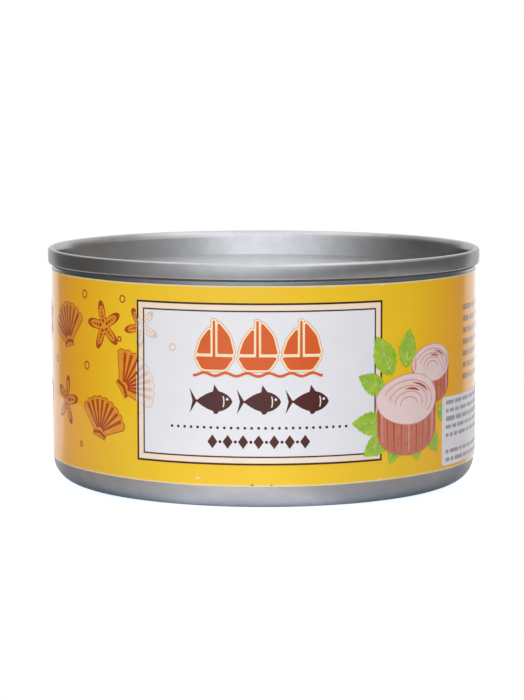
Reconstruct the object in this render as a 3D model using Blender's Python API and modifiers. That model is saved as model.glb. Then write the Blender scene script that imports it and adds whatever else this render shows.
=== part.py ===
"""A shut tuna can: a drawn steel can, its seamed lid, a wrap-round paper label and a side sticker.

Run with: blender --background --python part.py

Metres, +Z up. The origin is at the centre of the base, on the surface that the can stands on,
and the label's framed panel faces -Y. The can is filled and shut, so its body is one solid.
"""

from math import cos, pi, radians, sin

import bmesh
import bpy

MM = 0.001

# Driving dimensions, in millimetres.
CAN_HEIGHT = 46.0
BODY_RADIUS = 42.0
SEAM_RADIUS = 42.8
SEAM_HEIGHT = 3.15
CREST_RADIUS = 0.8
CORNER_RADIUS = 4.5
PANEL_DEPTH = 4.8
COUNTERSINK_DEPTH = 5.7
COUNTERSINK_RADIUS = 40.4
LID_THICKNESS = 0.25
LABEL_TOP = 41.85
LABEL_BOTTOM = 4.8
LABEL_RADIUS = 42.1
LABEL_THICKNESS = 0.2

# The gap that parts which touch keep between their surfaces.
GAP = 0.3

# The lid's raised expansion rings: the radius of each crest, its half width and height.
LID_RINGS = ((33.4, 1.9, 0.3), (27.6, 1.9, 0.3))

# The base: a standing ring, then a recessed panel with one raised ring.
FOOT_WIDTH = 1.2
BASE_RECESS = 1.3
BASE_SLOPE = 1.4
BASE_RINGS = ((29.5, 1.8, 0.4), (23.0, 1.8, 0.4))

# The sticker: its first edge and its far edge round the can, from -Y towards +X, and its height.
STICKER_START = radians(53.9)
STICKER_END = radians(124.0)
STICKER_BOTTOM = 5.6
STICKER_TOP = 18.85
STICKER_THICKNESS = 0.2
STICKER_STEPS = 18

# How finely round pieces are divided.
TURN_STEPS = 80
MERGE_DISTANCE = 0.01 * MM
SHARP_ANGLE = radians(40)


def clear_scene():
    """Remove every object of the start-up scene."""
    for obj in list(bpy.data.objects):
        bpy.data.objects.remove(obj)


def new_collection(name):
    collection = bpy.data.collections.new(name)
    bpy.context.scene.collection.children.link(collection)
    return collection


def finish_material(name, colour, roughness, metallic):
    """A Principled BSDF with one colour."""
    material = bpy.data.materials.new(name)
    material.use_nodes = True
    shader = material.node_tree.nodes["Principled BSDF"]
    shader.inputs["Base Color"].default_value = (*colour, 1.0)
    shader.inputs["Roughness"].default_value = roughness
    shader.inputs["Metallic"].default_value = metallic
    return material


def arc(centre_radius, centre_height, size, start, end, steps):
    """Points on a round stretch of a profile, with angles in degrees from +X towards +Z."""
    angles = [radians(start + (end - start) * i / steps) for i in range(steps + 1)]
    return [(centre_radius + size * cos(a), centre_height + size * sin(a)) for a in angles]


def ring_bumps(rings, height, direction):
    """Points over the raised rings of a flat panel.

    Rings are given from the rim inwards. Direction is 1 for a profile that runs outwards and
    -1 for one that runs inwards.
    """
    ordered = rings if direction < 0 else rings[::-1]
    points = []
    for radius, half_width, rise in ordered:
        points.append((radius - direction * half_width, height))
        points.append((radius - direction * half_width * 0.35, height + rise))
        points.append((radius + direction * half_width * 0.35, height + rise))
        points.append((radius + direction * half_width, height))
    return points


def chuck_wall_radius(height):
    """The inner radius of the lid's sloping wall at a height between countersink and crest."""
    low = CAN_HEIGHT - PANEL_DEPTH
    high = CAN_HEIGHT - CREST_RADIUS
    inner_crest = SEAM_RADIUS - 2 * CREST_RADIUS
    share = (height - low) / (high - low)
    return COUNTERSINK_RADIUS + (inner_crest - COUNTERSINK_RADIUS) * share


def turned(name, profile, material, collection, closed=False):
    """A solid turned about Z from a profile of (radius, height) points in millimetres.

    The profile runs down its outer side. An open profile starts and ends on the axis.
    """
    points = [(radius * MM, 0.0, height * MM) for radius, height in profile]
    edges = [(i, i + 1) for i in range(len(points) - 1)]
    if closed:
        edges.append((len(points) - 1, 0))
    outline = bpy.data.meshes.new(name + "_profile")
    outline.from_pydata(points, edges, [])
    obj = bpy.data.objects.new(name, outline)
    collection.objects.link(obj)

    screw = obj.modifiers.new("Turn", "SCREW")
    screw.axis = "Z"
    screw.angle = 2 * pi
    screw.steps = TURN_STEPS
    screw.render_steps = TURN_STEPS
    screw.use_merge_vertices = True
    screw.merge_threshold = MERGE_DISTANCE

    bpy.context.view_layer.update()
    graph = bpy.context.evaluated_depsgraph_get()
    mesh = bpy.data.meshes.new_from_object(obj.evaluated_get(graph))
    mesh.name = name
    obj.modifiers.clear()
    obj.data = mesh
    bpy.data.meshes.remove(outline)
    mesh.shade_smooth()
    mesh.set_sharp_from_angle(angle=SHARP_ANGLE)
    mesh.materials.append(material)
    return obj


def can_body(collection):
    """The drawn can with its filling: rounded base corner, standing ring and a neck under the seam."""
    lid_underside = CAN_HEIGHT - COUNTERSINK_DEPTH - LID_THICKNESS
    fill_height = lid_underside - GAP
    neck_top = CAN_HEIGHT - SEAM_HEIGHT - GAP
    neck_inner_top = chuck_wall_radius(neck_top) + LID_THICKNESS + 2 * GAP
    neck_inner_low = COUNTERSINK_RADIUS + LID_THICKNESS + GAP
    seat_radius = LABEL_RADIUS - LABEL_THICKNESS - GAP
    foot_outer = BODY_RADIUS - CORNER_RADIUS
    foot_inner = foot_outer - FOOT_WIDTH

    profile = [(0.0, fill_height), (neck_inner_low, fill_height), (neck_inner_top, neck_top)]
    profile += [(BODY_RADIUS, neck_top), (BODY_RADIUS, LABEL_TOP + GAP)]
    profile += [(seat_radius, LABEL_TOP + GAP), (seat_radius, LABEL_BOTTOM - GAP)]
    profile += arc(foot_outer, CORNER_RADIUS, CORNER_RADIUS, 0, -90, 7)
    profile += [(foot_inner, 0.0), (foot_inner - BASE_SLOPE, BASE_RECESS)]
    profile += ring_bumps(BASE_RINGS, BASE_RECESS, -1)
    profile += [(0.0, BASE_RECESS)]
    steel = finish_material("tin_plate", (0.47, 0.48, 0.50), 0.34, 1.0)
    return turned("can_body", profile, steel, collection)


def countersink(underside):
    """The groove between the lid's panel and its wall, from the panel outwards."""
    offset = LID_THICKNESS if underside else 0.0
    bottom = CAN_HEIGHT - COUNTERSINK_DEPTH
    size = (CAN_HEIGHT - PANEL_DEPTH - bottom) / 2 + 0.25
    centre = COUNTERSINK_RADIUS - size
    inner_wall = centre - size
    panel_round = [(inner_wall - 0.75, CAN_HEIGHT - PANEL_DEPTH - offset)]
    if underside:
        return panel_round + arc(centre, bottom + size, size + offset, 200, 350, 5)
    panel_round.append((inner_wall - 0.2, CAN_HEIGHT - PANEL_DEPTH - 0.2))
    return panel_round + arc(centre, bottom + size, size, 195, 350, 5)


def seamed_lid(collection):
    """The lid: a ringed panel, a countersink, a sloping wall and the rolled seam round the rim."""
    panel_height = CAN_HEIGHT - PANEL_DEPTH
    crest_height = CAN_HEIGHT - CREST_RADIUS
    seam_bottom = CAN_HEIGHT - SEAM_HEIGHT
    wall_outer = chuck_wall_radius(seam_bottom) + LID_THICKNESS

    profile = [(0.0, panel_height)] + ring_bumps(LID_RINGS, panel_height, 1)
    profile += countersink(underside=False)
    profile += arc(SEAM_RADIUS - CREST_RADIUS, crest_height, CREST_RADIUS, 180, 0, 8)
    profile += [(SEAM_RADIUS, seam_bottom + 0.75), (SEAM_RADIUS - 0.12, seam_bottom + 0.25)]
    profile += [(SEAM_RADIUS - 0.38, seam_bottom), (wall_outer, seam_bottom)]
    profile += countersink(underside=True)[::-1]
    profile += [(0.0, panel_height - LID_THICKNESS)]
    steel = finish_material("lid_steel", (0.52, 0.53, 0.55), 0.30, 1.0)
    return turned("seamed_lid", profile, steel, collection)


def paper_label(collection):
    """The label, a paper band round the side."""
    inner = LABEL_RADIUS - LABEL_THICKNESS
    profile = [(LABEL_RADIUS, LABEL_TOP), (LABEL_RADIUS, LABEL_BOTTOM)]
    profile += [(inner, LABEL_BOTTOM), (inner, LABEL_TOP)]
    paper = finish_material("yellow_paper", (0.84, 0.53, 0.05), 0.35, 0.0)
    return turned("paper_label", profile, paper, collection, closed=True)


def side_sticker(collection):
    """The small white sticker that lies on the label, bent round the can."""
    inner = (LABEL_RADIUS + GAP) * MM
    height = (STICKER_TOP - STICKER_BOTTOM) * MM
    middle = (STICKER_TOP + STICKER_BOTTOM) / 2 * MM
    sheet = bmesh.new()
    bmesh.ops.create_grid(sheet, x_segments=STICKER_STEPS, y_segments=1, size=0.5)
    for vertex in sheet.verts:
        angle = STICKER_START + (STICKER_END - STICKER_START) * (vertex.co.x + 0.5)
        vertex.co = (inner * sin(angle), -inner * cos(angle), middle + vertex.co.y * height)
    bmesh.ops.recalc_face_normals(sheet, faces=sheet.faces)
    middle_face = min(sheet.faces, key=lambda face: abs(face.calc_center_median().x - inner))
    if middle_face.normal.x < 0:
        bmesh.ops.reverse_faces(sheet, faces=sheet.faces)
    mesh = bpy.data.meshes.new("side_sticker")
    sheet.to_mesh(mesh)
    sheet.free()
    mesh.materials.append(finish_material("white_paper", (0.78, 0.78, 0.81), 0.45, 0.0))
    obj = bpy.data.objects.new("side_sticker", mesh)
    collection.objects.link(obj)

    solidify = obj.modifiers.new("Thickness", "SOLIDIFY")
    solidify.thickness = STICKER_THICKNESS * MM
    solidify.offset = 1.0
    return obj


def main():
    clear_scene()
    collection = new_collection("tuna_can")
    can_body(collection)
    seamed_lid(collection)
    paper_label(collection)
    side_sticker(collection)


main()
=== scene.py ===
"""Looks of a shut tuna can: satin steel, a varnished paper label with its print, and a side sticker.

Everything is in metres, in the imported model's frame: the can stands on z = 0 with its axis on z, and
the framed panel faces -Y. The model gives the can's main sizes. The others are the fields of the
classes below, in millimetres times MM. Artwork is drawn on the unrolled label, where x is the arc
from the middle of the front towards the viewer's right and y is the height over the base.
"""

import logging
import random
from abc import ABC, abstractmethod
from collections.abc import Callable, Iterable, Sequence
from dataclasses import dataclass
from enum import Enum
from math import acos, ceil, copysign, cos, exp, hypot, pi, radians, sin, tan
from typing import NamedTuple

import bmesh
import bpy
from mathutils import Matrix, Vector


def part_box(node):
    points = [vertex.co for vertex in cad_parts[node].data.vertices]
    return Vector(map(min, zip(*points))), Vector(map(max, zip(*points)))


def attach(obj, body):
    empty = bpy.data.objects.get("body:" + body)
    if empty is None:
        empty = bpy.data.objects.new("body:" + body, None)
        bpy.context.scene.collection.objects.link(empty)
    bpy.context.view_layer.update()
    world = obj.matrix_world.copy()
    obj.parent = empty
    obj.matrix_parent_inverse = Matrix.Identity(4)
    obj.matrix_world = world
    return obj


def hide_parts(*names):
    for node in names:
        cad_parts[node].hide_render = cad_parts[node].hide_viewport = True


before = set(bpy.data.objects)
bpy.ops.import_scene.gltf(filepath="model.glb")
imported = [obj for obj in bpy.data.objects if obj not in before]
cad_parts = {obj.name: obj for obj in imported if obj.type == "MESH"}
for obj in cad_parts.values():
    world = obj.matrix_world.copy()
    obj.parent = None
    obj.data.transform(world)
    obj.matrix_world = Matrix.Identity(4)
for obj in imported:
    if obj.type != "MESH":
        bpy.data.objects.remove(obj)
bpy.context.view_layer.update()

MM = 0.001
TURN_STEPS = 256
FILLET_STEP = radians(9)
SHARP_ANGLE = radians(38)
MERGE_DISTANCE = 0.0005 * MM
CUT_DISTANCE = 0.00001 * MM

# The small distance by which pieces that touch overlap or stay apart.
TOUCH = 0.02 * MM

Point = tuple[float, float]
Colour = tuple[float, float, float]
Triple = tuple[int, int, int]
Spatial = tuple[float, float, float]

log = logging.getLogger("tuna_can")


def screen_colour(red: int, green: int, blue: int) -> Colour:
    """Turn a colour as a screen shows it into the linear one that a shader takes.

    Args:
        red: The red share, from 0 to 255.
        green: The green share, from 0 to 255.
        blue: The blue share, from 0 to 255.

    Returns:
        The linear red, green and blue, from 0 to 1.
    """
    shares = (red / 255, green / 255, blue / 255)
    return tuple(s / 12.92 if s <= 0.04045 else ((s + 0.055) / 1.055) ** 2.4 for s in shares)


class Stretch(Enum):
    """Which way the lines of a steel's grain run, as feature lengths along X, Y and Z."""

    ROUND = (10.0 * MM, 10.0 * MM, 0.09 * MM)
    ACROSS = (12.0 * MM, 0.12 * MM, 12.0 * MM)


Socket = bpy.types.NodeSocket


class NodeBench:
    """A node tree, with short ways to add and join nodes."""

    def __init__(self, tree: bpy.types.NodeTree) -> None:
        """Keep the tree that the nodes are added to."""
        self.tree = tree

    def add(self, kind: str, **settings: object) -> bpy.types.Node:
        """Add a node.

        Args:
            kind: The node's type name.
            **settings: Properties of the node.

        Returns:
            The node.
        """
        node = self.tree.nodes.new(kind)
        for name, value in settings.items():
            setattr(node, name, value)
        return node

    def feed(self, node: bpy.types.Node, inputs: dict[str | int, object]) -> bpy.types.Node:
        """Link outputs to a node's inputs, or set their values.

        Args:
            node: The node.
            inputs: An output or a value for each input, by its name or place.

        Returns:
            The node.
        """
        for place, value in inputs.items():
            if isinstance(value, Socket):
                self.tree.links.new(value, node.inputs[place])
            else:
                node.inputs[place].default_value = value
        return node

    def maths(self, operation: str, *values: Socket | float) -> Socket:
        """One step of arithmetic.

        Args:
            operation: The Math node's operation.
            *values: What it works on.

        Returns:
            The result.
        """
        node = self.add("ShaderNodeMath", operation=operation)
        return self.feed(node, dict(enumerate(values))).outputs[0]

    def vector_maths(self, operation: str, inputs: dict[str | int, object]) -> Socket:
        """One step of arithmetic with vectors or lights."""
        return self.feed(self.add("ShaderNodeVectorMath", operation=operation), inputs).outputs[0]

    def ranged(
        self, value: Socket, source: Point, target: Point = (0.0, 1.0), soft: bool = False
    ) -> Socket:
        """Carry a value from one range over to another, without going past its ends.

        Args:
            value: The value.
            source: The range that it comes from.
            target: The range that it goes to.
            soft: True for a smooth start and end.

        Returns:
            The output.
        """
        node = self.add("ShaderNodeMapRange", interpolation_type="SMOOTHSTEP" if soft else "LINEAR")
        ends = {"From Min": source[0], "From Max": source[1], "To Min": target[0], "To Max": target[1]}
        return self.feed(node, {"Value": value, **ends}).outputs[0]

    def mixed(self, share: Socket, first: Socket | Colour, second: Socket | Colour) -> Socket:
        """Mix two colours.

        Args:
            share: How much of the second there is.
            first: One colour.
            second: The other colour.

        Returns:
            The colour output.
        """
        colours = [value if isinstance(value, Socket) else (*value, 1.0) for value in (first, second)]
        mix = self.add("ShaderNodeMix", data_type="RGBA")
        return self.feed(mix, {0: share, 6: colours[0], 7: colours[1]}).outputs[2]

    def azimuth(self, place: Socket) -> Socket:
        """The angle of a place or direction round the can's axis, from -Y towards +X."""
        split = self.feed(self.add("ShaderNodeSeparateXYZ"), {0: place})
        return self.maths("ARCTAN2", split.outputs["X"], self.maths("MULTIPLY", split.outputs["Y"], -1.0))

    def object_place(self) -> Socket:
        """The place on the can."""
        return self.add("ShaderNodeTexCoord").outputs["Object"]

    def noise(self, lengths: Spatial, detail: float = 2.0) -> Socket:
        """Noise with features of the given lengths.

        Args:
            lengths: The length of one feature along each axis.
            detail: How many finer layers the noise has.

        Returns:
            The noise's value output.
        """
        scales = [1 / length for length in lengths]
        mapping = self.add("ShaderNodeMapping")
        place = self.feed(mapping, {"Vector": self.object_place(), "Scale": scales}).outputs[0]
        noise = self.add("ShaderNodeTexNoise")
        return self.feed(noise, {"Vector": place, "Scale": 1.0, "Detail": detail}).outputs[0]

    def bumped(self, height: Socket, depth: float, under: Socket | None = None) -> Socket:
        """Relief from a height.

        Args:
            height: The height, from 0 to 1.
            depth: The depth of the relief.
            under: A normal that the relief is added to.

        Returns:
            The normal output.
        """
        inputs = {"Distance": depth, "Height": height} | ({"Normal": under} if under else {})
        return self.feed(self.add("ShaderNodeBump"), inputs).outputs[0]


def new_material(name: str) -> tuple[bpy.types.Material, NodeBench, bpy.types.Node]:
    """Start a material.

    Args:
        name: Its name.

    Returns:
        The material, a bench for its nodes and its shader.
    """
    material = bpy.data.materials.new(name)
    material.use_nodes = True
    return material, NodeBench(material.node_tree), material.node_tree.nodes["Principled BSDF"]


NOISE_RANGE = (0.3, 0.7)


@dataclass(frozen=True)
class Finish(ABC):
    """A surface finish. Its material is made on first use."""

    name: str

    def material(self) -> bpy.types.Material:
        """The finish's material."""
        return bpy.data.materials.get(self.name) or self.mix()

    @abstractmethod
    def mix(self) -> bpy.types.Material:
        """Make the material."""


@dataclass(frozen=True)
class Steel(Finish):
    """Satin tin-plated steel with fine grain lines and a soft mottle, darker where it turns away."""

    colour: Colour
    roughness: float
    grain: Stretch = Stretch.ROUND
    edge: float = 0.55
    grain_depth: float = 0.0002 * MM
    mottle: float = 2.6 * MM
    unevenness: float = 0.05
    wave_depth: float = 0.0008 * MM
    layers: float = 3.0

    def mix(self) -> bpy.types.Material:
        """Make the material.

        Returns:
            The material.
        """
        material, bench, shader = new_material(self.name)
        grain = bench.noise(self.grain.value, self.layers)
        mottle = bench.noise((self.mottle,) * 3, self.layers)
        dull = tuple((1 - 1.2 * self.unevenness) * share for share in self.colour)
        bright = tuple(min(1.0, (1 + 0.8 * self.unevenness) * share) for share in self.colour)
        rough = (self.roughness - 0.03, self.roughness + 0.04)
        waves = bench.bumped(mottle, self.wave_depth)
        bench.feed(shader, {
            "Metallic": 1.0,
            "Specular Tint": (self.edge, self.edge, self.edge, 1.0),
            "Base Color": bench.mixed(bench.ranged(mottle, NOISE_RANGE), dull, bright),
            "Roughness": bench.ranged(grain, NOISE_RANGE, rough),
            "Normal": bench.bumped(grain, self.grain_depth, waves),
        })
        return material


@dataclass(frozen=True)
class Print(Finish):
    """Paper or ink under a clear varnish, with the print's fine grain and uneven tone."""

    colour: Colour
    tone: Colour
    patch: float = 5.0 * MM
    patch_range: Point = (-0.05, 0.6)
    grain: float = 0.16 * MM
    grain_share: float = 0.4
    grain_depth: float = 0.0008 * MM
    wobble: float = 9.0 * MM
    wobble_depth: float = 0.012 * MM
    roughness: float = 0.45
    varnish: float = 1.0

    def ink(self, bench: NodeBench, share: Socket) -> Socket:
        """The ink's colour.

        Args:
            bench: The material's nodes.
            share: How much of the darker tone there is.

        Returns:
            The colour output.
        """
        return bench.mixed(share, self.colour, self.tone)

    def mix(self) -> bpy.types.Material:
        """Make the material.

        Returns:
            The material.
        """
        material, bench, shader = new_material(self.name)
        patches = bench.ranged(bench.noise((self.patch,) * 3), NOISE_RANGE, self.patch_range)
        grain = bench.noise((self.grain,) * 3)
        wobble = bench.bumped(bench.noise((self.wobble,) * 3, 1.0), self.wobble_depth)
        tone = bench.maths("MULTIPLY_ADD", grain, self.grain_share, patches)
        rough = (self.roughness - 0.05, self.roughness + 0.07)
        bench.feed(shader, {
            "Base Color": self.ink(bench, tone),
            "Roughness": bench.ranged(grain, NOISE_RANGE, rough),
            "Normal": bench.bumped(grain, self.grain_depth, wobble),
            "Coat Normal": wobble,
            "Specular IOR Level": 0.5 - 0.4 * self.varnish,
            "Coat Weight": self.varnish,
            "Coat Roughness": 0.05,
        })
        return material


@dataclass(frozen=True)
class PaintedShadePrint(Print):
    """A print with painted shade: it deepens towards the can's sides and is plain again at the front and
    back.
    """

    # The deeper colour towards the can's sides is painted shade.
    side: Colour = (0.9, 0.45, 0.01)
    shade_from: float = radians(34)
    shade_full: float = radians(70)
    shade_last: float = radians(100)
    shade_end: float = radians(134)

    def ink(self, bench: NodeBench, share: Socket) -> Socket:
        """The ink's colour, mixed with the painted shade's deeper colour by the angle round the can.

        Args:
            bench: The material's nodes.
            share: How much of the darker tone there is.

        Returns:
            The colour output.
        """
        angle = bench.maths("ABSOLUTE", bench.azimuth(bench.object_place()))
        front = bench.ranged(angle, (self.shade_from, self.shade_full), soft=True)
        back = bench.ranged(angle, (self.shade_last, self.shade_end), (1.0, 0.0), soft=True)
        # Painted shade: its share grows towards the sides and falls again towards the back.
        painted_shade = bench.maths("MULTIPLY", front, back)
        return bench.mixed(painted_shade, super().ink(bench, share), self.side)


def ink_finish(
    name: str, colour: Triple, tone: Triple, patch: float = 5.0, varnish: float = 1.0
) -> Print:
    """A print finish from two colours as a screen shows them, and its patches' size in millimetres."""
    return Print(name, screen_colour(*colour), screen_colour(*tone), patch * MM, varnish=varnish)


class Ink(Enum):
    """The finishes of the paper and of everything that is printed on it."""

    # The yellow's side colour is painted shade that deepens it towards the can's sides.
    YELLOW = PaintedShadePrint(
        "yellow_print", screen_colour(247, 204, 34), screen_colour(244, 199, 26),
        side=screen_colour(255, 178, 5),
    )
    # The pale band at the label's edges: the cut paper and a painted highlight on it.
    PAPER_CORE_AND_HIGHLIGHT = ink_finish("paper_core_and_highlight", (244, 226, 180), (232, 210, 156))
    WHITE = ink_finish("white_panel", (236, 238, 246), (232, 234, 243))
    CREAM = ink_finish("cream_band", (252, 234, 216), (247, 226, 206))
    DARK_LINE = ink_finish("dark_line", (66, 32, 10), (48, 24, 8))
    ORANGE = ink_finish("orange_ink", (226, 98, 24), (214, 88, 20))
    ORANGE_EDGE = ink_finish("orange_edge", (216, 140, 92), (200, 122, 78))
    ORANGE_HALO = ink_finish("orange_halo", (255, 240, 206), (252, 232, 192))
    BROWN = ink_finish("brown_ink", (84, 28, 22), (70, 22, 18))
    SHORE = ink_finish("shore_ink", (238, 162, 34), (228, 140, 26), 1.6)
    SHORE_LINE = ink_finish("shore_line_ink", (190, 82, 20), (164, 58, 16), 1.2)
    PALE = ink_finish("pale_ink", (238, 228, 226), (240, 232, 230), 1.6)
    PALE_LINE = ink_finish("pale_line_ink", (222, 194, 180), (232, 210, 198), 1.2)
    FLESH = ink_finish("flesh_ink", (246, 226, 228), (238, 208, 208), 2.4)
    FLESH_LINE = ink_finish("flesh_line_ink", (226, 178, 172), (214, 158, 150), 1.4)
    RIND = ink_finish("rind_ink", (216, 132, 108), (196, 104, 80), 1.3)
    RIND_LINE = ink_finish("rind_line_ink", (172, 78, 58), (190, 96, 72), 1.3)
    LEAF = ink_finish("leaf_ink", (182, 216, 66), (124, 178, 44), 1.2)
    LEAF_LINE = ink_finish("leaf_line_ink", (88, 142, 34), (226, 240, 140), 1.0)
    TEXT_BAR = ink_finish("text_bar_ink", (166, 118, 60), (148, 102, 52), 1.0)
    STICKER = ink_finish("sticker_paper", (238, 237, 244), (230, 229, 237), varnish=0.4)
    STICKER_BAR = ink_finish("sticker_bar_ink", (158, 155, 164), (176, 173, 182), varnish=0.4)
    SCUFF = ink_finish("scuff", (244, 232, 206), (226, 212, 180), 0.4)
    SPECK = ink_finish("dark_speck", (92, 84, 70), (60, 54, 46), 0.4)
    CHIP = ink_finish("rust_chip", (122, 86, 70), (98, 64, 52), 0.4, varnish=0.0)


WALL_STEEL = Steel("tin_plate_wall", (0.53, 0.535, 0.55), 0.25)
# The neck's steel is darker than the wall's: painted shade under the seam's overhang.
NECK_SHADE_STEEL = Steel("tin_plate_neck_shade", (0.36, 0.395, 0.44), 0.25, edge=1.0)
# Dark steel in the crease under the seam: painted shade.
CREVICE_SHADE_STEEL = Steel("tin_plate_crevice_shade", (0.29, 0.29, 0.30), 0.45)
SEAM_STEEL = Steel("seam_steel", (0.55, 0.555, 0.57), 0.22)
PANEL_STEEL = Steel(
    "panel_steel", (0.55, 0.555, 0.57), 0.20, Stretch.ACROSS, edge=0.94,
    mottle=5.0 * MM, unevenness=0.016, wave_depth=0.0005 * MM,
)


class Corner(NamedTuple):
    """A corner of a turned profile, with the radius that rounds it off."""

    radius: float
    height: float
    fillet: float = 0.0


def rounded(corners: Sequence[Corner]) -> list[Point]:
    """Replace each corner that has a fillet by an arc that meets both its sides.

    Args:
        corners: The corners in order. The ends of a line that is not a loop have no fillet.

    Returns:
        The line's points.
    """
    points: list[Point] = []
    for i, corner in enumerate(corners):
        here = Vector(corner[:2])
        if not corner.fillet:
            points.append(tuple(here))
            continue
        back = (Vector(corners[i - 1][:2]) - here).normalized()
        ahead = (Vector(corners[(i + 1) % len(corners)][:2]) - here).normalized()
        half = back.angle(ahead) / 2
        centre = here + (back + ahead).normalized() * corner.fillet / sin(half)
        spoke = here + back * corner.fillet / tan(half) - centre
        turn = copysign(pi - 2 * half, back.cross(ahead))
        steps = max(2, ceil(abs(turn) / FILLET_STEP))
        for k in range(steps + 1):
            c, s = cos(-turn * k / steps), sin(-turn * k / steps)
            swung = (spoke.x * c - spoke.y * s, spoke.x * s + spoke.y * c)
            points.append((centre.x + swung[0], centre.y + swung[1]))
    return points


def grown(outline: Sequence[Point], by: float) -> list[Point]:
    """Move a closed outline outwards.

    Args:
        outline: A smooth outline.
        by: How far.

    Returns:
        The wider outline.
    """
    pairs = zip(outline, [*outline[1:], outline[0]])
    side = copysign(by, sum(a[0] * b[1] - b[0] * a[1] for a, b in pairs))
    moved = []
    for i, (x, y) in enumerate(outline):
        along = (Vector(outline[(i + 1) % len(outline)]) - Vector(outline[i - 1])).normalized()
        moved.append((x + along.y * side, y - along.x * side))
    return moved


def ring_corners(radius: float, half_width: float, level: float, rise: float) -> list[Corner]:
    """The corners of a raised ring in a flat panel, from the inside outwards.

    Args:
        radius: The radius of the ring's crest.
        half_width: Half its width at the foot.
        level: The panel's height.
        rise: How far the ring stands over the panel.

    Returns:
        Four corners with soft fillets.
    """
    crest, soft = 0.3 * half_width, 1.4 * half_width
    return [
        Corner(radius - half_width, level, soft),
        Corner(radius - crest, level + rise, soft),
        Corner(radius + crest, level + rise, soft),
        Corner(radius + half_width, level, soft),
    ]


def spun(profile: Sequence[Point], closed: bool) -> bmesh.types.BMesh:
    """Spin a profile a full turn round the can's axis.

    Args:
        profile: The (radius, height) points.
        closed: True for a profile that is a loop, and False for one that ends on the axis.

    Returns:
        The turned shape, with its faces outwards.
    """
    shape = bmesh.new()
    dots = [shape.verts.new((radius, 0.0, height)) for radius, height in profile]
    sides = [shape.edges.new(pair) for pair in zip(dots, dots[1:])]
    if closed:
        sides.append(shape.edges.new((dots[-1], dots[0])))
    bmesh.ops.spin(
        shape, geom=dots + sides, cent=(0, 0, 0), axis=(0, 0, 1), dvec=(0, 0, 0),
        angle=2 * pi, steps=TURN_STEPS, use_merge=True, use_duplicate=False,
    )
    bmesh.ops.remove_doubles(shape, verts=shape.verts, dist=MERGE_DISTANCE)
    bmesh.ops.recalc_face_normals(shape, faces=shape.faces)
    return shape


def cut_across(shape: bmesh.types.BMesh, place: Spatial, direction: Spatial) -> None:
    """Divide the faces of a shape where a plane crosses them.

    Args:
        shape: The shape.
        place: A point of the plane.
        direction: The plane's normal.
    """
    everything = shape.verts[:] + shape.edges[:] + shape.faces[:]
    bmesh.ops.bisect_plane(
        shape, geom=everything, dist=CUT_DISTANCE, plane_co=place, plane_no=direction
    )


def inset_face(shape: bmesh.types.BMesh, face: bmesh.types.BMFace, width: float) -> None:
    """Shrink a lone face and leave a border of one width round it.

    Args:
        shape: The shape.
        face: Its face.
        width: The width of the border.
    """
    bmesh.ops.inset_region(
        shape, faces=[face], thickness=width, use_boundary=True, use_even_offset=True
    )


def finished_piece(name: str, shape: bmesh.types.BMesh, finishes: Sequence[Finish]) -> bpy.types.Object:
    """Make a shape into a piece that rides on the can.

    Args:
        name: The piece's name.
        shape: The shape, in place. It is freed.
        finishes: The finishes of its material indices.

    Returns:
        The piece.
    """
    mesh = bpy.data.meshes.new(name)
    shape.to_mesh(mesh)
    shape.free()
    for finish in finishes:
        mesh.materials.append(finish.material())
    mesh.shade_smooth()
    mesh.set_sharp_from_angle(angle=SHARP_ANGLE)
    piece = bpy.data.objects.new(name, mesh)
    bpy.context.scene.collection.objects.link(piece)
    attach(piece, "root")
    log.info("%s: %d faces", name, len(mesh.polygons))
    return piece


@dataclass(frozen=True)
class CanShell:
    """The drawn can: its wall, round lower corner, standing ring and recessed base."""

    wall_radius: float
    neck_top: float
    label_top: float
    corner: float = 4.5 * MM
    fill_height: float = 39.7 * MM
    fill_radius: float = 40.3 * MM
    neck_inner: float = 41.3 * MM
    crevice_depth: float = 0.34 * MM
    crevice_height: float = 0.44 * MM
    # The share of the crease's height that gets the painted shade.
    crevice_shade_share: float = 0.85
    neck_fillet: float = 0.15 * MM
    neck_flare: float = 0.03 * MM
    foot_width: float = 1.2 * MM
    foot_fillet: float = 0.5 * MM
    recess: float = 1.3 * MM
    recess_slope: float = 1.4 * MM
    recess_fillet: float = 0.7 * MM
    rings: tuple[float, ...] = (29.5 * MM, 23.0 * MM)
    ring_half_width: float = 1.8 * MM
    ring_rise: float = 0.4 * MM

    def profile(self) -> list[Point]:
        """The outline from the filling's top, down the wall and back to the axis under the base.

        Returns:
            The profile's points, from axis to axis.
        """
        foot_outer = self.wall_radius - self.corner
        foot_inner = foot_outer - self.foot_width
        corners = [
            Corner(0.0, self.fill_height),
            Corner(self.fill_radius, self.fill_height),
            Corner(self.neck_inner, self.neck_top),
            Corner(self.wall_radius - self.crevice_depth, self.neck_top),
            Corner(self.wall_radius, self.neck_top - self.crevice_height, self.neck_fillet),
            Corner(self.wall_radius - self.neck_flare, self.label_top),
            Corner(self.wall_radius, 0.0, self.corner),
            Corner(foot_inner, 0.0, self.foot_fillet),
            Corner(foot_inner - self.recess_slope, self.recess, self.recess_fillet),
        ]
        for radius in self.rings:
            corners += ring_corners(radius, self.ring_half_width, self.recess, self.ring_rise)[::-1]
        return rounded(corners + [Corner(0.0, self.recess)])

    def build(self) -> bpy.types.Object:
        """Make the can, which stands for its plain solid.

        Returns:
            The piece.
        """
        shape = spun(self.profile(), closed=False)
        crevice = self.neck_top - self.crevice_shade_share * self.crevice_height
        for face in shape.faces:
            middle = face.calc_center_median()
            if hypot(middle.x, middle.y) > self.neck_inner:
                # Above the label the darker neck steel, and high in the crease the dark steel: both are
                # painted shade under the seam.
                face.material_index = (middle.z > self.label_top) + (middle.z > crevice)
        piece = finished_piece("can_shell", shape, [WALL_STEEL, NECK_SHADE_STEEL, CREVICE_SHADE_STEEL])
        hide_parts("can_body")
        return piece


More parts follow.
